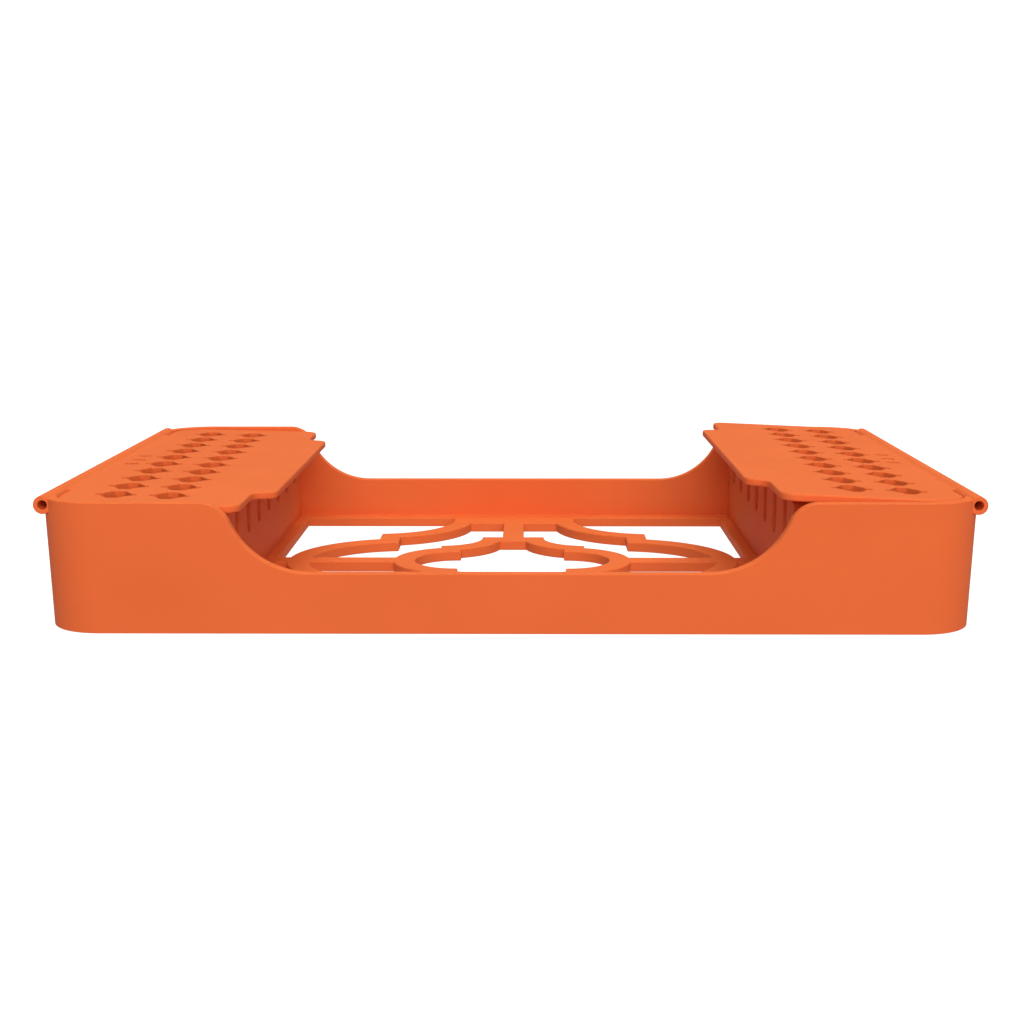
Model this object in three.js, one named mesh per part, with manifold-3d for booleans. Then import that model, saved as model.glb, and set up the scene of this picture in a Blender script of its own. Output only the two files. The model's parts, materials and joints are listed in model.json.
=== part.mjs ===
// A shallow moulded tray for eight slender instruments that lie side by side across two notched
// dividers, with a vented lid hinged over each end compartment and a pierced floor between them.
// Millimetres, +Z up, +X along the instruments. Origin: centre of the tray's underside.
import * as THREE from 'three';
import { mergeVertices } from 'three/addons/utils/BufferGeometryUtils.js';
import Module from 'manifold-3d';

const wasm = await Module();
wasm.setup();

// Tray: size at the rim, and the drafted walls. The hinge barrels stand out a little past the rim.
const TRAY_LENGTH = 220;
const TRAY_DEPTH = 146;
const RIM_HEIGHT = 31;
const LOW_RIM_HEIGHT = 14.4;
const DRAFT = Math.tan(THREE.MathUtils.degToRad(2));
const WALL = 2.8;
const FLOOR = 2.8;
const RIM_CORNER_RADIUS = 14.5;

// The front and back rims dip in an S-curve: a convex arc, then a concave one down to the low rim.
const DIP_START_X = 71;
const DIP_UPPER_RADIUS = 7.2;
const DIP_STEEPEST = THREE.MathUtils.degToRad(67.5);

// Notched dividers.
const DIVIDER_INNER_X = 68.1;
const DIVIDER_THICKNESS = 2.4;
const DIVIDER_HEIGHT = 27.7;
const NOTCH_COUNT = 8;
const NOTCH_PITCH = 16.1;
const NOTCH_WIDTH = 6;
const NOTCH_BOTTOM = 15.2;
const DIVIDER_END_GAP = 0.3;

// Pierced floor: a square opening that holds two lantern-shaped rings and four spokes.
const OPENING_HALF = 65.1;
const RING_WIDTH = 6;
const SPOKE_WIDTH = 6.2;
const OUTER_RING = {
  reach: 62, lobeRadius: 31, shoulder: 39.4, shoulderTop: 38.3,
  neck: 18.8, neckRadius: 22.9, cap: OPENING_HALF,
};
const OUTER_RING_CAP = 62;
const INNER_RING = {
  reach: 32.8, lobeRadius: 17.5, shoulder: 20.6, shoulderTop: 19.9,
  neck: 9.1, neckRadius: 12, cap: 33,
};

// Hinges: barrels on the outer top edges, on axes that run along Y.
const HINGE_X = 108.6;
const HINGE_Z = 29.45;
const BARREL_RADIUS = 2.15;
const BORE_RADIUS = 1.1;
const PIN_RADIUS = 1;
const TRAY_BARREL_START = 52.7;
const FRONT_BARREL_END = 67;
const REAR_BARREL_END = 63.8;
const BARREL_GAP = 0.3;
const PIN_START = 40.8;
const PIN_END = 58.8;
const LID_BORE_DEPTH = 12;
const SADDLE_CLEARANCE = 0.35;

// Lids, measured from the hinge axis: u towards the middle of the tray, v up.
const LID_TOP = 1.3;
const LID_THICKNESS = 1.8;
const LID_HALF_DEPTH = 69.8;
const LID_EDGE_START = 2.45;
const LID_CORNER_GAP = 0.4;
const LID_MAIN_REACH = 46.15;
const LID_TONGUE_REACH = 51.65;
const LID_TONGUE_HALF = 49;
const LID_CORNER_RADIUS = 4;
const LID_TONGUE_RADIUS = 3;
const CLOSED_TILT = THREE.MathUtils.degToRad(-1.3);
const AJAR_TILT = THREE.MathUtils.degToRad(2.6);
const VENT_COLUMNS = [14.65, 27.55];
const VENT_ROWS = 10;
const VENT_PITCH = 12.7;
const VENT_CREST = [1.1, 4.95];
const VENT_ROOT = [3.6, 1.2];
const VENT_TIP = [4.95, 1.05];
const SLOT_U = 6.25;
const SLOT_LENGTH = 3.8;
const SLOT_WIDTH = 2.6;
const SLOT_PITCH = 7.4;

const ARC_STEPS = 3;
const ROUND_SIDES = 24;
const PAST = 1;

const orange = new THREE.MeshStandardMaterial({ color: 0xee6a35, roughness: 0.55, metalness: 0 });
const steel = new THREE.MeshStandardMaterial({ color: 0xb9bcc0, roughness: 0.3, metalness: 1 });

// ---- Solids ---------------------------------------------------------------------------------

function solid(geometry) {
  const bare = geometry.clone();
  bare.deleteAttribute('normal');
  bare.deleteAttribute('uv');
  const merged = mergeVertices(bare, 1e-4);
  return new wasm.Manifold(new wasm.Mesh({
    numProp: 3,
    vertProperties: new Float32Array(merged.attributes.position.array),
    triVerts: new Uint32Array(merged.index.array),
  }));
}

function piece(name, body, material) {
  const mesh = body.getMesh();
  const geometry = new THREE.BufferGeometry();
  geometry.setAttribute('position', new THREE.BufferAttribute(mesh.vertProperties, 3));
  geometry.setIndex(new THREE.BufferAttribute(mesh.triVerts, 1));
  geometry.computeVertexNormals();
  const part = new THREE.Mesh(geometry, material);
  part.name = name;
  return part;
}

function box(minX, maxX, minY, maxY, minZ, maxZ) {
  const geometry = new THREE.BoxGeometry(maxX - minX, maxY - minY, maxZ - minZ);
  return solid(geometry.translate((minX + maxX) / 2, (minY + maxY) / 2, (minZ + maxZ) / 2));
}

function slab(shape, fromZ, toZ) {
  const options = { depth: toZ - fromZ, bevelEnabled: false, curveSegments: ARC_STEPS };
  return solid(new THREE.ExtrudeGeometry(shape, options).translate(0, 0, fromZ));
}

function rod(radius, fromY, toY, x, z) {
  const geometry = new THREE.CylinderGeometry(radius, radius, toY - fromY, ROUND_SIDES);
  return solid(geometry.translate(x, (fromY + toY) / 2, z));
}

// ---- Tray -----------------------------------------------------------------------------------

// A rounded rectangle that grows with height: every point keeps its direction from the core
// rectangle that joins the four corner centres, at a distance set by the draft.
function draftedBlock(inset, fromZ, toZ) {
  const coreX = TRAY_LENGTH / 2 - RIM_CORNER_RADIUS;
  const coreY = TRAY_DEPTH / 2 - RIM_CORNER_RADIUS;
  const radius = RIM_CORNER_RADIUS - inset;
  const shape = new THREE.Shape();
  shape.absarc(coreX, coreY, radius, 0, Math.PI / 2);
  shape.absarc(-coreX, coreY, radius, Math.PI / 2, Math.PI);
  shape.absarc(-coreX, -coreY, radius, Math.PI, Math.PI * 1.5);
  shape.absarc(coreX, -coreY, radius, Math.PI * 1.5, Math.PI * 2);
  const options = { depth: toZ - fromZ, bevelEnabled: false, curveSegments: ARC_STEPS + 1 };
  const geometry = new THREE.ExtrudeGeometry(shape, options).translate(0, 0, fromZ);
  const points = geometry.attributes.position;
  for (let i = 0; i < points.count; i++) {
    const x = points.getX(i);
    const y = points.getY(i);
    const nearX = THREE.MathUtils.clamp(x, -coreX, coreX);
    const nearY = THREE.MathUtils.clamp(y, -coreY, coreY);
    const growth = (radius - (RIM_HEIGHT - points.getZ(i)) * DRAFT) / radius;
    points.setXY(i, nearX + (x - nearX) * growth, nearY + (y - nearY) * growth);
  }
  return solid(geometry);
}

function wallInset(z) {
  return (RIM_HEIGHT - z) * DRAFT + WALL;
}

// The space above the dipped rims, seen from the front, cut through both long walls.
function rimDip() {
  const fallUpper = DIP_UPPER_RADIUS * (1 - Math.cos(DIP_STEEPEST));
  const fallLower = RIM_HEIGHT - fallUpper - LOW_RIM_HEIGHT;
  const lowerRadius = fallLower / (1 - Math.cos(DIP_STEEPEST));
  const joinX = DIP_START_X - DIP_UPPER_RADIUS * Math.sin(DIP_STEEPEST);
  const lowX = joinX - lowerRadius * Math.sin(DIP_STEEPEST);
  const upperZ = RIM_HEIGHT - DIP_UPPER_RADIUS;
  const lowerZ = LOW_RIM_HEIGHT + lowerRadius;
  const down = -Math.PI / 2;
  const up = Math.PI / 2;
  const shape = new THREE.Shape();
  shape.moveTo(-lowX, LOW_RIM_HEIGHT);
  shape.lineTo(lowX, LOW_RIM_HEIGHT);
  shape.absarc(lowX, lowerZ, lowerRadius, down, down + DIP_STEEPEST, false);
  shape.absarc(DIP_START_X, upperZ, DIP_UPPER_RADIUS, up + DIP_STEEPEST, up, true);
  shape.lineTo(DIP_START_X, RIM_HEIGHT + PAST);
  shape.lineTo(-DIP_START_X, RIM_HEIGHT + PAST);
  shape.absarc(-DIP_START_X, upperZ, DIP_UPPER_RADIUS, up, up - DIP_STEEPEST, true);
  shape.absarc(-lowX, lowerZ, lowerRadius, down - DIP_STEEPEST, down, false);
  const depth = TRAY_DEPTH + 2 * PAST;
  const options = { depth, bevelEnabled: false, curveSegments: ARC_STEPS };
  const geometry = new THREE.ExtrudeGeometry(shape, options);
  return solid(geometry.rotateX(Math.PI / 2).translate(0, depth / 2, 0));
}

// The barrel at one end of a side wall, or the bore that runs through it and out of the corner.
function trayBarrel(side, end, radius, past) {
  const outerEnd = end < 0 ? FRONT_BARREL_END : REAR_BARREL_END;
  const from = end * (TRAY_BARREL_START - past);
  const to = end * (outerEnd + past);
  return rod(radius, Math.min(from, to), Math.max(from, to), side * HINGE_X, HINGE_Z);
}

function trayShell() {
  let body = draftedBlock(0, 0, RIM_HEIGHT).subtract(draftedBlock(WALL, FLOOR, RIM_HEIGHT + PAST));
  body = body.subtract(rimDip());
  const opening = box(-OPENING_HALF, OPENING_HALF, -OPENING_HALF, OPENING_HALF, -PAST, FLOOR + PAST);
  body = body.subtract(opening);
  const saddleTop = HINGE_Z - BARREL_RADIUS - SADDLE_CLEARANCE;
  for (const side of [-1, 1]) {
    const outer = side * (TRAY_LENGTH / 2 + PAST);
    const inner = side * (TRAY_LENGTH / 2 - 2 * WALL);
    const lowX = Math.min(outer, inner);
    const highX = Math.max(outer, inner);
    const half = TRAY_BARREL_START;
    body = body.subtract(box(lowX, highX, -half, half, saddleTop, RIM_HEIGHT + PAST));
    for (const end of [-1, 1]) {
      body = body.add(trayBarrel(side, end, BARREL_RADIUS, 0));
      body = body.subtract(trayBarrel(side, end, BORE_RADIUS, 3 * PAST));
    }
  }
  return body;
}

// A divider is a comb: its outline lies in the YZ plane and is extruded along X.
function divider(side) {
  const bottomHalf = TRAY_DEPTH / 2 - wallInset(FLOOR) - DIVIDER_END_GAP;
  const topHalf = TRAY_DEPTH / 2 - wallInset(DIVIDER_HEIGHT) - DIVIDER_END_GAP;
  const notchRadius = NOTCH_WIDTH / 2;
  const notchCentre = NOTCH_BOTTOM + notchRadius;
  const shape = new THREE.Shape();
  shape.moveTo(-bottomHalf, FLOOR);
  shape.lineTo(bottomHalf, FLOOR);
  shape.lineTo(topHalf, DIVIDER_HEIGHT);
  for (let i = 0; i < NOTCH_COUNT; i++) {
    const y = NOTCH_PITCH * ((NOTCH_COUNT - 1) / 2 - i);
    shape.lineTo(y + notchRadius, DIVIDER_HEIGHT);
    shape.absarc(y, notchCentre, notchRadius, 0, -Math.PI, true);
    shape.lineTo(y - notchRadius, DIVIDER_HEIGHT);
  }
  shape.lineTo(-topHalf, DIVIDER_HEIGHT);
  const options = { depth: DIVIDER_THICKNESS, bevelEnabled: false, curveSegments: ARC_STEPS };
  const geometry = new THREE.ExtrudeGeometry(shape, options);
  const toYZ = new THREE.Matrix4().makeBasis(
    new THREE.Vector3(0, 1, 0),
    new THREE.Vector3(0, 0, 1),
    new THREE.Vector3(1, 0, 0),
  );
  const outward = DIVIDER_INNER_X + DIVIDER_THICKNESS / 2;
  geometry.applyMatrix4(toYZ).translate(side * outward - DIVIDER_THICKNESS / 2, 0, 0);
  return solid(geometry);
}

// ---- Pierced floor --------------------------------------------------------------------------

// One quarter of a lantern outline: a round lobe on the X axis, a stepped shoulder, then a concave
// sweep towards the Y axis that a flat cap cuts off. A cap beyond the sweep's end adds a straight
// neck. A positive inset draws the outline inwards.
function lanternQuarter(size, cap, inset) {
  const lobeX = size.reach - size.lobeRadius;
  const lobeRadius = size.lobeRadius - inset;
  const shoulder = size.shoulder - inset;
  const neckX = size.neck + size.neckRadius;
  const fromNeck = size.shoulder - neckX;
  const neckY = size.shoulderTop + Math.sqrt(size.neckRadius ** 2 - fromNeck ** 2);
  const neckRadius = size.neckRadius + inset;
  const lobeEnd = Math.acos((shoulder - lobeX) / lobeRadius);
  const sweepStart = Math.asin((neckX - shoulder) / neckRadius);
  const capY = cap - inset;
  const sweepEnd = Math.acos(Math.max(0, neckY - capY) / neckRadius);
  const steps = 2 * ARC_STEPS;
  const points = [];
  for (let i = 0; i <= steps; i++) {
    const angle = lobeEnd * i / steps;
    points.push([lobeX + lobeRadius * Math.cos(angle), lobeRadius * Math.sin(angle)]);
  }
  for (let i = 0; i <= steps; i++) {
    const angle = sweepStart + (sweepEnd - sweepStart) * i / steps;
    points.push([neckX - neckRadius * Math.sin(angle), neckY - neckRadius * Math.cos(angle)]);
  }
  if (capY > neckY) {
    points.push([size.neck - inset, capY]);
  }
  return points;
}

function lanternPoints(size, cap, inset) {
  const quarter = lanternQuarter(size, cap, inset);
  const half = [...quarter, ...quarter.map(([x, y]) => [-x, y]).reverse()];
  const rest = half.slice(1, -1).map(([x, y]) => [-x, -y]);
  return [...half, ...rest].map(([x, y]) => new THREE.Vector2(x, y));
}

function lanternRing(size, cap, innerCap) {
  const outer = slab(new THREE.Shape(lanternPoints(size, cap, 0)), 0, FLOOR);
  const holePoints = lanternPoints(size, innerCap, RING_WIDTH);
  return outer.subtract(slab(new THREE.Shape(holePoints), -PAST, FLOOR + PAST));
}

function floorGrille() {
  const half = SPOKE_WIDTH / 2;
  const hole = lanternPoints(INNER_RING, INNER_RING.cap, RING_WIDTH / 2);
  const centre = slab(new THREE.Shape(hole), -PAST, FLOOR + PAST);
  let spokes = box(-OPENING_HALF, OPENING_HALF, -half, half, 0, FLOOR);
  spokes = spokes.add(box(-half, half, -OPENING_HALF, OPENING_HALF, 0, FLOOR)).subtract(centre);
  const outer = lanternRing(OUTER_RING, OUTER_RING.cap, OUTER_RING_CAP);
  return outer.add(lanternRing(INNER_RING, INNER_RING.cap, INNER_RING.cap)).add(spokes);
}

// ---- Lids and pins --------------------------------------------------------------------------

// The lid's outline in (u, y): free edge with its stepped tongue, and hinge-side corners that
// follow the inside of the rim and stay clear of the tray's barrels.
function lidOutline() {
  const cornerU = RIM_CORNER_RADIUS - (TRAY_LENGTH / 2 - HINGE_X);
  const cornerY = TRAY_DEPTH / 2 - RIM_CORNER_RADIUS;
  const rimDrop = RIM_HEIGHT - HINGE_Z + LID_THICKNESS;
  const cornerRadius = RIM_CORNER_RADIUS - WALL - rimDrop * DRAFT - LID_CORNER_GAP;
  const clearAngle = Math.acos((cornerU - LID_EDGE_START) / cornerRadius);
  const halfTurn = Math.PI;
  const quarter = Math.PI / 2;
  const barrelHalf = TRAY_BARREL_START - BARREL_GAP;
  const mainU = LID_MAIN_REACH - LID_CORNER_RADIUS;
  const mainY = LID_HALF_DEPTH - LID_CORNER_RADIUS;
  const tongueU = LID_TONGUE_REACH - LID_TONGUE_RADIUS;
  const tongueY = LID_TONGUE_HALF - LID_TONGUE_RADIUS;
  const shape = new THREE.Shape();
  shape.moveTo(0, -barrelHalf);
  shape.lineTo(LID_EDGE_START, -barrelHalf);
  shape.absarc(cornerU, -cornerY, cornerRadius, halfTurn + clearAngle, halfTurn + quarter);
  shape.absarc(mainU, -mainY, LID_CORNER_RADIUS, -quarter, 0);
  shape.lineTo(LID_MAIN_REACH, -LID_TONGUE_HALF);
  shape.absarc(tongueU, -tongueY, LID_TONGUE_RADIUS, -quarter, 0);
  shape.absarc(tongueU, tongueY, LID_TONGUE_RADIUS, 0, quarter);
  shape.lineTo(LID_MAIN_REACH, LID_TONGUE_HALF);
  shape.absarc(mainU, mainY, LID_CORNER_RADIUS, 0, quarter);
  shape.absarc(cornerU, cornerY, cornerRadius, quarter, halfTurn - clearAngle);
  shape.lineTo(LID_EDGE_START, barrelHalf);
  shape.lineTo(0, barrelHalf);
  return shape;
}

// A vent is a diamond with blunt crests along Y and a short narrow tip at each end along u.
function ventHole(u, y) {
  const quarter = [VENT_TIP, VENT_ROOT, VENT_CREST];
  const half = [...quarter, ...quarter.map(([du, dy]) => [-du, dy]).reverse()];
  const outline = [...half, ...half.map(([du, dy]) => [-du, -dy])];
  return new THREE.Shape(outline.map(([du, dy]) => new THREE.Vector2(u + du, y + dy)));
}

function slotHole(u, y) {
  const half = (SLOT_LENGTH - SLOT_WIDTH) / 2;
  const shape = new THREE.Shape();
  shape.absarc(u + half, y, SLOT_WIDTH / 2, -Math.PI / 2, Math.PI / 2);
  shape.absarc(u - half, y, SLOT_WIDTH / 2, Math.PI / 2, Math.PI * 1.5);
  return shape;
}

function lidHoles() {
  const holes = [];
  for (const u of VENT_COLUMNS) {
    for (let row = 0; row < VENT_ROWS; row++) {
      holes.push(ventHole(u, (row - (VENT_ROWS - 1) / 2) * VENT_PITCH));
    }
  }
  for (const y of [-SLOT_PITCH, 0, SLOT_PITCH]) {
    holes.push(slotHole(SLOT_U, y));
  }
  return holes.map((shape) => slab(shape, LID_TOP - LID_THICKNESS - PAST, LID_TOP + PAST));
}

function lid() {
  const barrelHalf = TRAY_BARREL_START - BARREL_GAP;
  let body = slab(lidOutline(), LID_TOP - LID_THICKNESS, LID_TOP);
  for (const hole of lidHoles()) {
    body = body.subtract(hole);
  }
  body = body.add(rod(BARREL_RADIUS, -barrelHalf, barrelHalf, 0, 0));
  body = body.subtract(rod(BORE_RADIUS, -barrelHalf - PAST, -barrelHalf + LID_BORE_DEPTH, 0, 0));
  return body.subtract(rod(BORE_RADIUS, barrelHalf - LID_BORE_DEPTH, barrelHalf + PAST, 0, 0));
}

function hinge(side, name, openAngle) {
  const turned = new THREE.Group();
  turned.position.set(side * HINGE_X, 0, HINGE_Z);
  turned.rotation.z = side > 0 ? Math.PI : 0;
  const part = piece(name, lid(), orange);
  part.rotation.y = -openAngle;
  turned.add(part);
  return turned;
}

function pin(side, end, name) {
  const startY = Math.min(end * PIN_START, end * PIN_END);
  const endY = Math.max(end * PIN_START, end * PIN_END);
  return piece(name, rod(PIN_RADIUS, startY, endY, side * HINGE_X, HINGE_Z), steel);
}

const tray = new THREE.Group();
tray.add(piece('tray_shell', trayShell(), orange));
tray.add(piece('left_divider', divider(-1), orange));
tray.add(piece('right_divider', divider(1), orange));
tray.add(piece('floor_grille', floorGrille(), orange));
tray.add(pin(-1, -1, 'left_front_hinge_pin'));
tray.add(pin(-1, 1, 'left_rear_hinge_pin'));
tray.add(pin(1, -1, 'right_front_hinge_pin'));
tray.add(pin(1, 1, 'right_rear_hinge_pin'));
tray.add(hinge(-1, 'left_lid', CLOSED_TILT));
tray.add(hinge(1, 'right_lid', AJAR_TILT));

export default tray;
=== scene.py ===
"""Looks for the instrument tray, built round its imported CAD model. Blender 4.5.

The tray is one moulding, each lid is another, and four steel pins hold the lids. Shapes are worked
out in millimetres in the CAD model's frame: X along the instruments, Z up, origin under the tray's
middle.
"""

import json
import math

import bpy
from mathutils import Matrix, Vector


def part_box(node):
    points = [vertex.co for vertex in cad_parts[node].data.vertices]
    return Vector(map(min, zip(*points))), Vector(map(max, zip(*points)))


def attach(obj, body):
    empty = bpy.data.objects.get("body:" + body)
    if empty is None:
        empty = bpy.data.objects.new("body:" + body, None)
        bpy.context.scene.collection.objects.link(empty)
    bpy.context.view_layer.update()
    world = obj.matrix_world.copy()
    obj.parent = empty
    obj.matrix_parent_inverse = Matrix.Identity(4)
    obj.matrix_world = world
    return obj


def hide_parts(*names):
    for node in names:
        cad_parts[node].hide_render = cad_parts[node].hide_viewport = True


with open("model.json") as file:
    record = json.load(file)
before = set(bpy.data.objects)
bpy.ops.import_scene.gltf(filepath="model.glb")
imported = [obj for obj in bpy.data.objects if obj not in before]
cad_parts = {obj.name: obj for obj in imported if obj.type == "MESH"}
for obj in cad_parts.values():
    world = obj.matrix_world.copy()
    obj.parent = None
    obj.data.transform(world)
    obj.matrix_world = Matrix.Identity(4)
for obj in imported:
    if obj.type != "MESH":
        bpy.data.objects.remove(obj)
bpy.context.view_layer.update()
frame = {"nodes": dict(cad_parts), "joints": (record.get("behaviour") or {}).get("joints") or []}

MM = 0.001
ARC_STEP = math.radians(3)
QUARTER = math.pi / 2
TURNED_SIDES = 64

# How far a cutter runs past a face, how far a shape is sunk into its neighbour, and a hair's breadth
# that keeps points from falling on one another.
PAST = 1.0
EMBED = 1.0
HAIR = 0.01

# ---- Sizes in millimetres, as in the CAD model ----------------------------------------------

HALF_LENGTH = 110.0
HALF_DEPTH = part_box("tray_shell")[1].y / MM
RIM_HEIGHT = 31.0
LOW_RIM_HEIGHT = 14.4
DRAFT = math.tan(math.radians(2))
WALL = 2.8
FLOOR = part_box("floor_grille")[1].z / MM
CORNER_RADIUS = 14.5
CORE_X = HALF_LENGTH - CORNER_RADIUS
CORE_Y = HALF_DEPTH - CORNER_RADIUS

DIP_START_X = 71.0
DIP_UPPER_RADIUS = 7.2
DIP_STEEPEST = math.radians(67.5)

DIVIDER_LOW, DIVIDER_HIGH = (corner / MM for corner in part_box("right_divider"))
NOTCH_COUNT = 8
NOTCH_PITCH = 16.1
NOTCH_WIDTH = 6.0
NOTCH_BOTTOM = 15.2

OPENING_HALF = 65.1
RING_WIDTH = 6.0
SPOKE_WIDTH = 6.2
OUTER_RING = {
    "reach": 62.0, "lobe_radius": 31.0, "shoulder": 39.4, "shoulder_top": 38.3,
    "neck": 18.8, "neck_radius": 22.9, "cap": OPENING_HALF,
}
OUTER_RING_CAP = 62.0
INNER_RING = {
    "reach": 32.8, "lobe_radius": 17.5, "shoulder": 20.6, "shoulder_top": 19.9,
    "neck": 9.1, "neck_radius": 12.0, "cap": 33.0,
}

HINGES = {joint["child"]: Vector(joint["pos_m"]) / MM for joint in frame["joints"]}
HINGE_X = HINGES["right_lid"].x
HINGE_Z = HINGES["right_lid"].z
BARREL_RADIUS = 2.15
BORE_RADIUS = 1.1
TRAY_BARREL_START = 52.7
FRONT_BARREL_END = 67.0
REAR_BARREL_END = 63.8
LID_BARREL_HALF = 52.4
LID_BORE_DEPTH = 12.0
SADDLE_TOP = 26.95

# Lids, measured from the hinge axis: u towards the middle of the tray, and up.
LID_TOP = 1.3
LID_THICKNESS = 1.8
LID_HALF_DEPTH = 69.8
LID_EDGE_START = 2.45
LID_CORNER_GAP = 0.4
LID_MAIN_REACH = 46.15
LID_TONGUE_REACH = 51.65
LID_TONGUE_HALF = 49.0
LID_CORNER_RADIUS = 4.0
LID_TONGUE_RADIUS = 3.0
LID_STEP_RADIUS = 3.5
LID_TILT = {"left_lid": math.radians(-1.3), "right_lid": math.radians(2.6)}

# Vents: where they stand, and the corners of one quarter of their outline in (u, y).
VENT_COLUMNS = (14.65, 27.55)
VENT_ROWS = 10
VENT_PITCH = 12.7
VENT_CREST = (1.1, 4.95)
VENT_ROOT = (3.6, 1.2)
VENT_TIP = (4.95, 1.05)
SLOT_U = 6.25
SLOT_LENGTH = 3.8
SLOT_WIDTH = 2.6
SLOT_PITCH = 7.4

# Edge rounding, which the CAD model leaves out.
RIM_FILLET = 0.3
BASE_FILLET = 0.25
INNER_FILLET = 0.4
GRILLE_FILLET = 0.35
DIVIDER_FILLET = 0.45
NOTCH_LIP = 0.7
BARREL_END_FILLET = 0.15
BARREL_JOINT_FILLET = 0.1
BORE_FILLET = 0.2
LID_FILLET = 0.45
LID_CREASE_RADIUS = 2.0
VENT_FILLET = 0.12
VENT_CREST_RADIUS = 1.2
VENT_ROOT_RADIUS = 0.8
PIN_CHAMFER = 0.25

# Studio, in metres and in Blender's light units. The world fades between two heights of its sphere.
FLOOR_HALF = 3.0
FLOOR_GREY = 0.2
FLOOR_GLOW = 1.0
FLOOR_DROP = 0.1
DOME_RADIUS = 8.0
DOME_GLOW = 1.05
DOME_SIDES = 32
WORLD_ABOVE = 0.1
WORLD_BELOW = 0.6
WORLD_FADE = (-0.25, 0.35)
WORLD_COLOUR = (1.0, 1.0, 1.15, 1)

# Soft lights: position, target, size, power and colour.
TOP_LIGHT = ((0.1, 0.1, 1.5), (0, 0, 0), (1.6, 1.6), 26, (0.86, 1.0, 0.86))
FRONT_LIGHT = ((0.2, -1.7, 0.75), (0, 0, 0.02), (1.6, 1.2), 28, (1.0, 0.89, 0.87))
BACK_LIGHT = ((-0.2, 1.7, 0.75), (0, 0, 0.02), (1.6, 1.2), 8, (1.0, 0.97, 0.95))

# Camera, in metres and radians.
CAMERA_PLACE = (0.004303, -0.42681, 0.091284)
CAMERA_YAW = 0.010128
CAMERA_PITCH = 0.17427
CAMERA_ROLL = -0.000776
CAMERA_SENSOR_WIDTH = 36
CAMERA_LENS = 55.41
CAMERA_CLIP = (0.01, 50)

# ---- Outlines: lists of (x, y), counter-clockwise -------------------------------------------


def arc(centre_x, centre_y, radius, start, end, step=ARC_STEP):
    """Points along an arc, both ends included."""
    steps = max(2, math.ceil(abs(end - start) / step))
    angles = [start + (end - start) * i / steps for i in range(steps + 1)]
    return [(centre_x + radius * math.cos(a), centre_y + radius * math.sin(a)) for a in angles]


def rounded(corners, step=ARC_STEP):
    """A polygon from (x, y, radius) corners, each with a radius rounded off by an arc."""
    points = []
    for i, (x, y, radius) in enumerate(corners):
        here = Vector((x, y))
        if not radius:
            points.append((x, y))
            continue
        before = (Vector(corners[i - 1][:2]) - here).normalized()
        after = (Vector(corners[(i + 1) % len(corners)][:2]) - here).normalized()
        half_angle = before.angle(after) / 2
        centre = here + (before + after).normalized() * (radius / math.sin(half_angle))
        first = here + before * (radius / math.tan(half_angle)) - centre
        turn = math.pi - 2 * half_angle
        if before.x * after.y - before.y * after.x > 0:
            turn = -turn
        start = math.atan2(first.y, first.x)
        points += arc(centre.x, centre.y, radius, start, start + turn, step)
    return points


def inset_outline(points, distance):
    """The outline moved inwards, or outwards for a negative distance."""
    moved = []
    for i, point in enumerate(points):
        here = Vector(point)
        back = (here - Vector(points[i - 1])).normalized()
        ahead = (Vector(points[(i + 1) % len(points)]) - here).normalized()
        left_back = Vector((-back.y, back.x))
        left_ahead = Vector((-ahead.y, ahead.x))
        shift = (left_back + left_ahead) * (distance / (1 + left_back.dot(left_ahead)))
        moved.append(tuple(here + shift))
    return moved


def lantern(size, cap, inset):
    """The floor's motif: round lobes on X, stepped shoulders, and sweeps that a cap cuts off."""
    lobe_x = size["reach"] - size["lobe_radius"]
    lobe_radius = size["lobe_radius"] - inset
    shoulder = size["shoulder"] - inset
    neck_x = size["neck"] + size["neck_radius"]
    across = size["shoulder"] - neck_x
    neck_y = size["shoulder_top"] + math.sqrt(size["neck_radius"] ** 2 - across ** 2)
    neck_radius = size["neck_radius"] + inset
    lobe_end = math.acos((shoulder - lobe_x) / lobe_radius)
    sweep_start = math.asin((neck_x - shoulder) / neck_radius)
    cap_y = cap - inset
    sweep_end = math.acos(max(0.0, neck_y - cap_y) / neck_radius)
    quarter = arc(lobe_x, 0, lobe_radius, 0, lobe_end)
    quarter += arc(neck_x, neck_y, neck_radius, -QUARTER - sweep_start, -QUARTER - sweep_end)
    if cap_y > neck_y:
        quarter.append((size["neck"] - inset, cap_y))
    half = quarter + [(-x, y) for x, y in reversed(quarter)]
    return half + [(-x, -y) for x, y in half[1:-1]]


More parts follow.
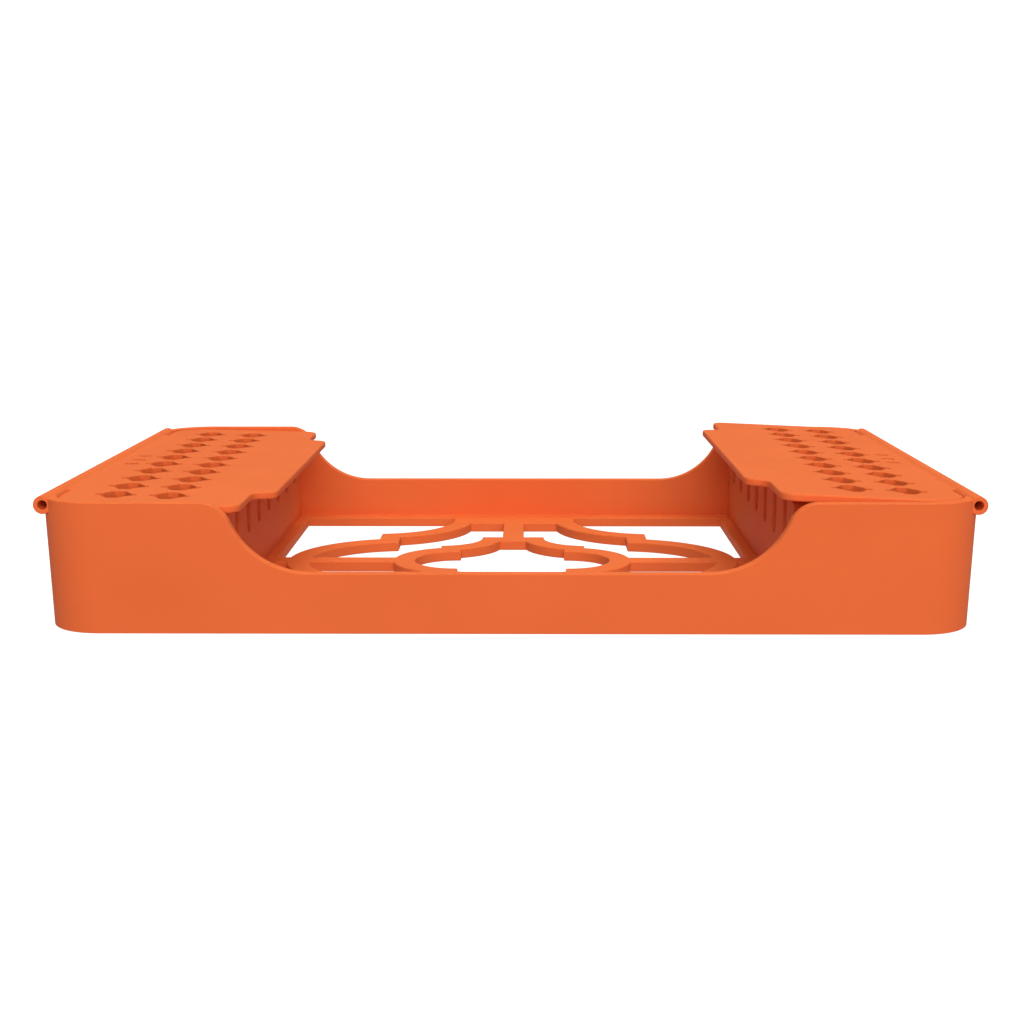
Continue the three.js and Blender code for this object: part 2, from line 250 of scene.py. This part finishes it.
def lid_outline():
    """The lid in (u, y), with u measured from the hinge axis towards the middle of the tray."""
    corner_u = CORNER_RADIUS - (HALF_LENGTH - HINGE_X)
    rim_drop = RIM_HEIGHT - HINGE_Z + LID_THICKNESS
    corner_radius = CORNER_RADIUS - WALL - rim_drop * DRAFT - LID_CORNER_GAP
    clear = math.acos((corner_u - LID_EDGE_START) / corner_radius)
    front = arc(corner_u, -CORE_Y, corner_radius, math.pi + clear, math.pi + QUARTER)
    free_edge = rounded([
        (LID_MAIN_REACH, -LID_HALF_DEPTH, LID_CORNER_RADIUS),
        (LID_MAIN_REACH, -LID_TONGUE_HALF, LID_STEP_RADIUS),
        (LID_TONGUE_REACH, -LID_TONGUE_HALF, LID_TONGUE_RADIUS),
        (LID_TONGUE_REACH, LID_TONGUE_HALF, LID_TONGUE_RADIUS),
        (LID_MAIN_REACH, LID_TONGUE_HALF, LID_STEP_RADIUS),
        (LID_MAIN_REACH, LID_HALF_DEPTH, LID_CORNER_RADIUS),
        (0, LID_HALF_DEPTH, 0),
        (0, -LID_HALF_DEPTH, 0),
    ])[:-2]
    back = [(u, -y) for u, y in reversed(front)]
    start = [(0, -LID_BARREL_HALF), (LID_EDGE_START, -LID_BARREL_HALF)]
    end = [(LID_EDGE_START, LID_BARREL_HALF), (0, LID_BARREL_HALF)]
    return start + front + free_edge + back + end


# ---- Meshes ---------------------------------------------------------------------------------


def loft(rings):
    """A closed shell through equal rings of points, capped at its first and last ring."""
    count = len(rings[0])
    points = [point for ring in rings for point in ring]
    faces = [tuple(reversed(range(count)))]
    for low in range(0, len(points) - count, count):
        for i in range(count):
            j = (i + 1) % count
            faces.append((low + i, low + j, low + count + j, low + count + i))
    faces.append(tuple(range(len(points) - count, len(points))))
    return points, faces


def quarter_round(radius, steps=4):
    """(back from the edge, along from the corner) pairs round a quarter circle."""
    turns = [QUARTER * i / steps for i in range(steps + 1)]
    return [(radius * (1 - math.sin(t)), radius * (1 - math.cos(t))) for t in turns]


def prism(outline, low, high, fillet):
    """The outline extruded from low to high, with both edges rounded."""
    steps = quarter_round(fillet)
    levels = [(back, low + up) for back, up in steps]
    levels += [(back, high - up) for back, up in reversed(steps)]
    return loft([[(x, y, z) for x, y in inset_outline(outline, back)] for back, z in levels])


def hole(outline, low, high, fillet, steps=4):
    """A cutter for a hole through low to high that leaves rounded edges."""
    flare = [(up, back) for back, up in quarter_round(fillet, steps)]
    levels = [(fillet, low - PAST)] + [(out, low + up) for out, up in reversed(flare)]
    levels += [(out, high - up) for out, up in flare] + [(fillet, high + PAST)]
    return loft([[(x, y, z) for x, y in inset_outline(outline, -out)] for out, z in levels])


def turned(profile, x, z):
    """A lathed solid round an axis along Y, from (radius, y) pairs that start and end off it."""
    angles = [-2 * math.pi * i / TURNED_SIDES for i in range(TURNED_SIDES)]
    rings = []
    for radius, y in profile:
        rings.append([(x + radius * math.cos(a), y, z + radius * math.sin(a)) for a in angles])
    return loft(rings)


def barrel(low, high, low_fillet, high_fillet, x=0.0, z=0.0):
    profile = [(BARREL_RADIUS - back, low + up) for back, up in quarter_round(low_fillet)]
    far_end = reversed(quarter_round(high_fillet))
    profile += [(BARREL_RADIUS - back, high - up) for back, up in far_end]
    return turned(profile, x, z)


def bore(low, high, x=0.0, z=0.0):
    return turned([(BORE_RADIUS, low), (BORE_RADIUS, high)], x, z)


def flared_bore(face, high, x, z):
    """A cutter for a bore that starts at a face and rounds its mouth."""
    profile = [(BORE_RADIUS + BORE_FILLET, face - PAST)]
    for back, up in reversed(quarter_round(BORE_FILLET)):
        profile.append((BORE_RADIUS + up, face + back))
    profile.append((BORE_RADIUS, high))
    return turned(profile, x, z)


def shell_object(name, shells):
    """One object from separate closed shells, each (points, faces) in millimetres."""
    points = []
    faces = []
    for shell_points, shell_faces in shells:
        start = len(points)
        points += [Vector(point) * MM for point in shell_points]
        faces += [tuple(start + i for i in face) for face in shell_faces]
    mesh = bpy.data.meshes.new(name)
    mesh.from_pydata(points, [], faces)
    mesh.validate()
    made = bpy.data.objects.new(name, mesh)
    bpy.context.scene.collection.objects.link(made)
    return made


def apply_modifiers(target):
    depsgraph = bpy.context.evaluated_depsgraph_get()
    baked = bpy.data.meshes.new_from_object(target.evaluated_get(depsgraph), depsgraph=depsgraph)
    target.modifiers.clear()
    old = target.data
    target.data = baked
    baked.name = target.name
    bpy.data.meshes.remove(old)


def combine(target, operation, tool):
    """Adds or cuts another object, and removes it."""
    step = target.modifiers.new("combine", "BOOLEAN")
    step.operation = operation
    step.solver = "MANIFOLD"
    step.object = tool
    apply_modifiers(target)
    tool_mesh = tool.data
    bpy.data.objects.remove(tool)
    bpy.data.meshes.remove(tool_mesh)


def add(target, *shells):
    """Adds closed shells that don't touch each other."""
    combine(target, "UNION", shell_object("added", shells))


def cut(target, *shells):
    """Cuts away closed shells that don't touch each other."""
    combine(target, "DIFFERENCE", shell_object("cutter", shells))


def shade(target, material):
    """Smooth shading that stays flat on flat faces and sharp at real corners."""
    mesh = target.data
    mesh.shade_smooth()
    mesh.set_sharp_from_angle(angle=math.radians(35))
    normals = target.modifiers.new("weighted normals", "WEIGHTED_NORMAL")
    normals.keep_sharp = True
    normals.weight = 100
    apply_modifiers(target)
    target.data.materials.clear()
    target.data.materials.append(material)


# ---- Tray moulding --------------------------------------------------------------------------


def rim_profile():
    """(x, rim height, slope) from the start of the dip at +X down to its low middle."""
    upper_fall = DIP_UPPER_RADIUS * (1 - math.cos(DIP_STEEPEST))
    lower_fall = RIM_HEIGHT - upper_fall - LOW_RIM_HEIGHT
    lower_radius = lower_fall / (1 - math.cos(DIP_STEEPEST))
    join_x = DIP_START_X - DIP_UPPER_RADIUS * math.sin(DIP_STEEPEST)
    low_x = join_x - lower_radius * math.sin(DIP_STEEPEST)
    steps = math.ceil(DIP_STEEPEST / ARC_STEP)
    slopes = [DIP_STEEPEST * i / steps for i in range(steps + 1)]
    points = []
    for slope in slopes:
        x = DIP_START_X - DIP_UPPER_RADIUS * math.sin(slope)
        points.append((x, RIM_HEIGHT - DIP_UPPER_RADIUS * (1 - math.cos(slope)), slope))
    for slope in reversed(slopes[:-1]):
        x = low_x + lower_radius * math.sin(slope)
        points.append((x, LOW_RIM_HEIGHT + lower_radius * (1 - math.cos(slope)), slope))
    return points


def wall_stations():
    """(core point, outward direction, rim height, rim slope) all round, counter-clockwise."""
    dip = rim_profile()
    long_wall = [(CORE_X - 1, RIM_HEIGHT, 0)] + dip
    long_wall += [(-x, height, slope) for x, height, slope in reversed(dip)]
    long_wall.append((1 - CORE_X, RIM_HEIGHT, 0))
    saddle = TRAY_BARREL_START
    short_wall = [(-saddle, RIM_HEIGHT), (-saddle + HAIR, SADDLE_TOP)]
    short_wall += [(saddle - HAIR, SADDLE_TOP), (saddle, RIM_HEIGHT)]
    stations = []

    def corner(sign_x, sign_y, start):
        for x, y in arc(0, 0, 1, start, start + QUARTER):
            core = (sign_x * CORE_X, sign_y * CORE_Y)
            stations.append((core, (x, y), RIM_HEIGHT, 0))

    for y, height in short_wall:
        stations.append(((CORE_X, y), (1, 0), height, 0))
    corner(1, 1, 0)
    for x, height, slope in long_wall:
        stations.append(((x, CORE_Y), (0, 1), height, slope))
    corner(-1, 1, QUARTER)
    for y, height in short_wall:
        stations.append(((-CORE_X, -y), (-1, 0), height, 0))
    corner(-1, -1, math.pi)
    for x, height, slope in long_wall:
        stations.append(((-x, -CORE_Y), (0, -1), height, slope))
    corner(1, -1, math.pi + QUARTER)
    return stations


def wall_section(height, slope):
    """The wall's cross-section as (distance from the core, z), from under the floor to its top."""
    def outer(z):
        return CORNER_RADIUS - (RIM_HEIGHT - z) * DRAFT

    def inner(z):
        return outer(z) - WALL

    rim = [(back, down / math.cos(slope)) for back, down in quarter_round(RIM_FILLET)]
    section = [(outer(0) - BASE_FILLET - 1, 0)]
    section += [(outer(up) - back, up) for back, up in quarter_round(BASE_FILLET)]
    section += [(outer(height - down) - back, height - down) for back, down in reversed(rim)]
    section += [(inner(height - down) + back, height - down) for back, down in rim]
    for up, out in quarter_round(INNER_FILLET):
        section.append((inner(FLOOR + up) - out, FLOOR + up))
    section.append((inner(FLOOR) - INNER_FILLET - 1, FLOOR))
    return section


def tray_body():
    stations = wall_stations()
    sections = [wall_section(height, slope) for _, _, height, slope in stations]
    rings = []
    for level in range(len(sections[0])):
        ring = []
        for (core, out, _, _), section in zip(stations, sections):
            reach, z = section[level]
            ring.append((core[0] + out[0] * reach, core[1] + out[1] * reach, z))
        rings.append(ring)
    return loft(rings)


def square(half):
    return [(-half, -half), (half, -half), (half, half), (-half, half)]


def bar(low_x, high_x, low_y, high_y):
    outline = [(low_x, low_y), (high_x, low_y), (high_x, high_y), (low_x, high_y)]
    return prism(outline, 0, FLOOR, GRILLE_FILLET)


def spokes():
    half = SPOKE_WIDTH / 2
    inner_x = INNER_RING["reach"] - RING_WIDTH / 2
    inner_y = INNER_RING["cap"] - RING_WIDTH / 2
    outer = OPENING_HALF + EMBED
    return [
        bar(inner_x, outer, -half, half),
        bar(-outer, -inner_x, -half, half),
        bar(-half, half, inner_y, outer),
        bar(-half, half, -outer, -inner_y),
    ]


def divider(side):
    """The comb: its outline lies in YZ and is extruded along X."""
    def half_gap(z):
        return HALF_DEPTH - (RIM_HEIGHT - z) * DRAFT - WALL + EMBED

    top = DIVIDER_HIGH.z
    foot = FLOOR - EMBED
    half = NOTCH_WIDTH / 2
    corners = [(-half_gap(foot), foot, 0), (half_gap(foot), foot, 0), (half_gap(top), top, 0)]
    for i in range(NOTCH_COUNT):
        y = NOTCH_PITCH * ((NOTCH_COUNT - 1) / 2 - i)
        corners += [
            (y + half, top, NOTCH_LIP), (y + half, NOTCH_BOTTOM, half - HAIR),
            (y - half, NOTCH_BOTTOM, half - HAIR), (y - half, top, NOTCH_LIP),
        ]
    corners.append((-half_gap(top), top, 0))
    low, high = DIVIDER_LOW.x, DIVIDER_HIGH.x
    if side < 0:
        low, high = -high, -low
    points, faces = prism(rounded(corners), low, high, DIVIDER_FILLET)
    return [(x, y, z) for y, z, x in points], faces


def add_ring(tray, size, cap, inner_cap):
    ring = shell_object("ring", [prism(lantern(size, cap, 0), 0, FLOOR, GRILLE_FILLET)])
    cut(ring, hole(lantern(size, inner_cap, RING_WIDTH), 0, FLOOR, GRILLE_FILLET))
    combine(tray, "UNION", ring)


def make_tray(material):
    tray = shell_object("tray_moulding", [tray_body()])
    cut(tray, hole(square(OPENING_HALF), 0, FLOOR, GRILLE_FILLET))
    add_ring(tray, OUTER_RING, OUTER_RING["cap"] + EMBED, OUTER_RING_CAP)
    add_ring(tray, INNER_RING, INNER_RING["cap"], INNER_RING["cap"])
    add(tray, *spokes())
    add(tray, divider(-1), divider(1))
    front, rear, joint = -FRONT_BARREL_END, REAR_BARREL_END, TRAY_BARREL_START
    barrels = []
    bores = []
    for x in (-HINGE_X, HINGE_X):
        barrels += [
            barrel(front, -joint, BARREL_END_FILLET, BARREL_JOINT_FILLET, x, HINGE_Z),
            barrel(joint, rear, BARREL_JOINT_FILLET, BARREL_END_FILLET, x, HINGE_Z),
        ]
        bores += [
            flared_bore(front, PAST - joint, x, HINGE_Z),
            bore(joint - PAST, rear + 3 * PAST, x, HINGE_Z),
        ]
    add(tray, *barrels)
    cut(tray, *bores)
    shade(tray, material)
    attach(tray, "tray")
    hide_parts("tray_shell", "left_divider", "right_divider", "floor_grille")


# ---- Lids and pins --------------------------------------------------------------------------


def vents_and_slots():
    low, high = LID_TOP - LID_THICKNESS, LID_TOP
    tip_radius = VENT_TIP[1] - HAIR
    quarter = [(*VENT_TIP, tip_radius), (*VENT_ROOT, VENT_ROOT_RADIUS)]
    quarter.append((*VENT_CREST, VENT_CREST_RADIUS))
    half = quarter + [(-du, dy, radius) for du, dy, radius in reversed(quarter)]
    motif = rounded(half + [(-du, -dy, radius) for du, dy, radius in half], math.radians(12))
    holes = []
    for u in VENT_COLUMNS:
        for row in range(VENT_ROWS):
            y = (row - (VENT_ROWS - 1) / 2) * VENT_PITCH
            outline = [(u + du, y + dy) for du, dy in motif]
            holes.append(hole(outline, low, high, VENT_FILLET, 2))
    half_u = SLOT_LENGTH / 2
    half_y = SLOT_WIDTH / 2
    for y in (-SLOT_PITCH, 0, SLOT_PITCH):
        corners = [(-half_u, -half_y), (half_u, -half_y), (half_u, half_y), (-half_u, half_y)]
        outline = rounded([(SLOT_U + du, y + dy, half_y - HAIR) for du, dy in corners])
        holes.append(hole(outline, low, high, VENT_FILLET, 2))
    return holes


def crease_filler():
    """A strip that blends the lid's barrel into its plate with a concave curve, seen along Y."""
    reach = BARREL_RADIUS + LID_CREASE_RADIUS
    centre_v = LID_TOP + LID_CREASE_RADIUS
    centre_u = math.sqrt(reach ** 2 - centre_v ** 2)
    touch = math.atan2(-centre_v, -centre_u)
    section = arc(centre_u, centre_v, LID_CREASE_RADIUS, -QUARTER, touch)
    section += [(section[-1][0], LID_TOP - 1), (centre_u, LID_TOP - 1)]
    half = LID_BARREL_HALF - BARREL_JOINT_FILLET
    return loft([[(u, y, v) for u, v in section] for y in (half, -half)])


def make_lid(name, material):
    plate = prism(lid_outline(), LID_TOP - LID_THICKNESS, LID_TOP, LID_FILLET)
    lid = shell_object(name + "_moulding", [plate])
    cut(lid, *vents_and_slots())
    half = LID_BARREL_HALF
    add(lid, barrel(-half, half, BARREL_JOINT_FILLET, BARREL_JOINT_FILLET))
    add(lid, crease_filler())
    depth = LID_BORE_DEPTH
    cut(lid, bore(-half - PAST, depth - half), bore(half - depth, half + PAST))
    turn = Matrix.Rotation(math.pi, 4, "Z") if name == "right_lid" else Matrix.Identity(4)
    place = Matrix.Translation(HINGES[name] * MM) @ turn @ Matrix.Rotation(-LID_TILT[name], 4, "Y")
    lid.data.transform(place)
    shade(lid, material)
    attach(lid, name)
    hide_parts(name)


def make_pin(node, material):
    low, high = (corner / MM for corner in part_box(node))
    centre = (low + high) / 2
    radius = (high.z - low.z) / 2
    profile = [
        (radius - PIN_CHAMFER, low.y), (radius, low.y + PIN_CHAMFER),
        (radius, high.y - PIN_CHAMFER), (radius - PIN_CHAMFER, high.y),
    ]
    pin = shell_object(node + "_steel", [turned(profile, centre.x, centre.z)])
    shade(pin, material)
    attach(pin, "tray")
    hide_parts(node)


# ---- Materials ------------------------------------------------------------------------------


def new_material(name, settings):
    material = bpy.data.materials.new(name)
    material.use_nodes = True
    shader = material.node_tree.nodes["Principled BSDF"]
    for socket, value in settings.items():
        shader.inputs[socket].default_value = value
    return material, shader


def object_noise(tree, scale, detail, roughness=0.5):
    """Noise fixed to the object, with its scale in cycles per metre."""
    place = tree.nodes.new("ShaderNodeTexCoord")
    noise = tree.nodes.new("ShaderNodeTexNoise")
    noise.inputs["Scale"].default_value = scale
    noise.inputs["Detail"].default_value = detail
    noise.inputs["Roughness"].default_value = roughness
    tree.links.new(place.outputs["Object"], noise.inputs["Vector"])
    return noise.outputs["Fac"]


def mapped(tree, value, low, high):
    """The value's middle range spread over low to high."""
    spread = tree.nodes.new("ShaderNodeMapRange")
    spread.inputs["From Min"].default_value = 0.3
    spread.inputs["From Max"].default_value = 0.7
    spread.inputs["To Min"].default_value = low
    spread.inputs["To Max"].default_value = high
    tree.links.new(value, spread.inputs["Value"])
    return spread.outputs["Result"]


def orange_plastic():
    """Matte moulded polypropylene: a fine spark-eroded grain and a faint drift in its colour."""
    material, shader = new_material("orange_plastic", {"Specular IOR Level": 0.1})
    tree = material.node_tree
    colour = tree.nodes.new("ShaderNodeMix")
    colour.data_type = "RGBA"
    colour.inputs["A"].default_value = (0.74, 0.137, 0.034, 1)
    colour.inputs["B"].default_value = (0.77, 0.146, 0.037, 1)
    drift = mapped(tree, object_noise(tree, 45, 3), 0, 1)
    tree.links.new(drift, colour.inputs["Factor"])
    tree.links.new(colour.outputs["Result"], shader.inputs["Base Color"])
    sheen = mapped(tree, object_noise(tree, 900, 3), 0.6, 0.7)
    tree.links.new(sheen, shader.inputs["Roughness"])
    bump = tree.nodes.new("ShaderNodeBump")
    bump.inputs["Strength"].default_value = 0.25
    bump.inputs["Distance"].default_value = 0.00003
    tree.links.new(object_noise(tree, 4200, 4, 0.6), bump.inputs["Height"])
    tree.links.new(bump.outputs["Normal"], shader.inputs["Normal"])
    return material


def pin_steel():
    """Drawn stainless wire, with fine lines along it."""
    material, shader = new_material("pin_steel", {
        "Base Color": (0.52, 0.53, 0.56, 1),
        "Metallic": 1.0,
    })
    tree = material.node_tree
    place = tree.nodes.new("ShaderNodeTexCoord")
    stretch = tree.nodes.new("ShaderNodeMapping")
    stretch.inputs["Scale"].default_value = (9000, 160, 9000)
    lines = tree.nodes.new("ShaderNodeTexNoise")
    lines.inputs["Scale"].default_value = 1
    lines.inputs["Detail"].default_value = 3
    tree.links.new(place.outputs["Object"], stretch.inputs["Vector"])
    tree.links.new(stretch.outputs["Vector"], lines.inputs["Vector"])
    tree.links.new(mapped(tree, lines.outputs["Fac"], 0.22, 0.42), shader.inputs["Roughness"])
    bump = tree.nodes.new("ShaderNodeBump")
    bump.inputs["Strength"].default_value = 0.2
    bump.inputs["Distance"].default_value = 0.00001
    tree.links.new(lines.outputs["Fac"], bump.inputs["Height"])
    tree.links.new(bump.outputs["Normal"], shader.inputs["Normal"])
    return material


# ---- Studio ---------------------------------------------------------------------------------


def softbox(name, position, target, size, power, colour):
    light = bpy.data.lights.new(name, "AREA")
    light.shape = "RECTANGLE"
    light.size, light.size_y = size
    light.energy = power
    light.color = colour
    holder = bpy.data.objects.new(name, light)
    bpy.context.scene.collection.objects.link(holder)
    holder.location = position
    aim = Vector(target) - Vector(position)
    holder.rotation_euler = aim.to_track_quat("-Z", "Y").to_euler()
    return holder


def glow(material, strength):
    shader = material.node_tree.nodes["Principled BSDF"]
    shader.inputs["Emission Color"].default_value = (1, 1, 1, 1)
    shader.inputs["Emission Strength"].default_value = strength


def only_seen(stage_object):
    """The camera sees it, but it neither lights the tray nor shows in its gloss."""
    stage_object.visible_diffuse = False
    stage_object.visible_glossy = False


def make_backdrop():
    """White paper under the tray, and a plain white dome far behind it."""
    size = FLOOR_HALF / MM
    corners = [(x, y, -FLOOR_DROP) for x, y in square(size)]
    paper, _ = new_material("floor_paper", {
        "Base Color": (FLOOR_GREY, FLOOR_GREY, FLOOR_GREY, 1),
        "Roughness": 0.9,
        "Specular IOR Level": 0.0,
    })
    glow(paper, FLOOR_GLOW)
    floor = shell_object("floor", [(corners, [(0, 1, 2, 3)])])
    floor.data.materials.append(paper)
    only_seen(floor)
    white, _ = new_material("dome_white", {"Base Color": (0, 0, 0, 1), "Specular IOR Level": 0.0})
    glow(white, DOME_GLOW)
    turns = [2 * math.pi * k / DOME_SIDES for k in range(DOME_SIDES)]
    rings = []
    for i in range(DOME_SIDES // 2 - 1):
        tilt = -QUARTER + 2 * math.pi * (i + 1) / DOME_SIDES
        radius, z = DOME_RADIUS * math.cos(tilt) / MM, DOME_RADIUS * math.sin(tilt) / MM
        rings.append([(radius * math.cos(a), radius * math.sin(a), z) for a in turns])
    dome = shell_object("dome", [loft(rings)])
    dome.data.materials.append(white)
    dome.visible_shadow = False
    only_seen(dome)


def make_world():
    """Soft even light that is stronger from below than from above."""
    world = bpy.data.worlds.new("studio")
    world.use_nodes = True
    tree = world.node_tree
    direction = tree.nodes.new("ShaderNodeTexCoord")
    split = tree.nodes.new("ShaderNodeSeparateXYZ")
    level = tree.nodes.new("ShaderNodeMapRange")
    level.interpolation_type = "SMOOTHSTEP"
    level.inputs["From Min"].default_value = WORLD_FADE[0]
    level.inputs["From Max"].default_value = WORLD_FADE[1]
    level.inputs["To Min"].default_value = WORLD_BELOW
    level.inputs["To Max"].default_value = WORLD_ABOVE
    background = tree.nodes["Background"]
    tree.links.new(direction.outputs["Generated"], split.inputs["Vector"])
    tree.links.new(split.outputs["Z"], level.inputs["Value"])
    tree.links.new(level.outputs["Result"], background.inputs["Strength"])
    background.inputs["Color"].default_value = WORLD_COLOUR
    bpy.context.scene.world = world


def make_studio():
    make_backdrop()
    make_world()
    softbox("top_light", *TOP_LIGHT)
    softbox("front_light", *FRONT_LIGHT)
    back = softbox("back_light", *BACK_LIGHT)
    back.visible_glossy = False
    bpy.context.scene.view_settings.view_transform = "Standard"


def make_camera():
    """The viewpoint low in front of the tray, a little above its rim."""
    camera = bpy.data.cameras.new("camera")
    camera.sensor_width = CAMERA_SENSOR_WIDTH
    camera.lens = CAMERA_LENS
    camera.clip_start, camera.clip_end = CAMERA_CLIP
    holder = bpy.data.objects.new("camera", camera)
    bpy.context.scene.collection.objects.link(holder)
    look = Matrix.Rotation(CAMERA_YAW, 4, "Z") @ Matrix.Rotation(QUARTER - CAMERA_PITCH, 4, "X")
    place = Matrix.Translation(CAMERA_PLACE)
    holder.matrix_world = place @ look @ Matrix.Rotation(CAMERA_ROLL, 4, "Z")
    bpy.context.scene.camera = holder


orange = orange_plastic()
steel = pin_steel()
make_camera()
make_studio()
make_tray(orange)
for lid_name in ("left_lid", "right_lid"):
    make_lid(lid_name, orange)
for pin_node in sorted(node for node in frame["nodes"] if node.endswith("_hinge_pin")):
    make_pin(pin_node, steel)
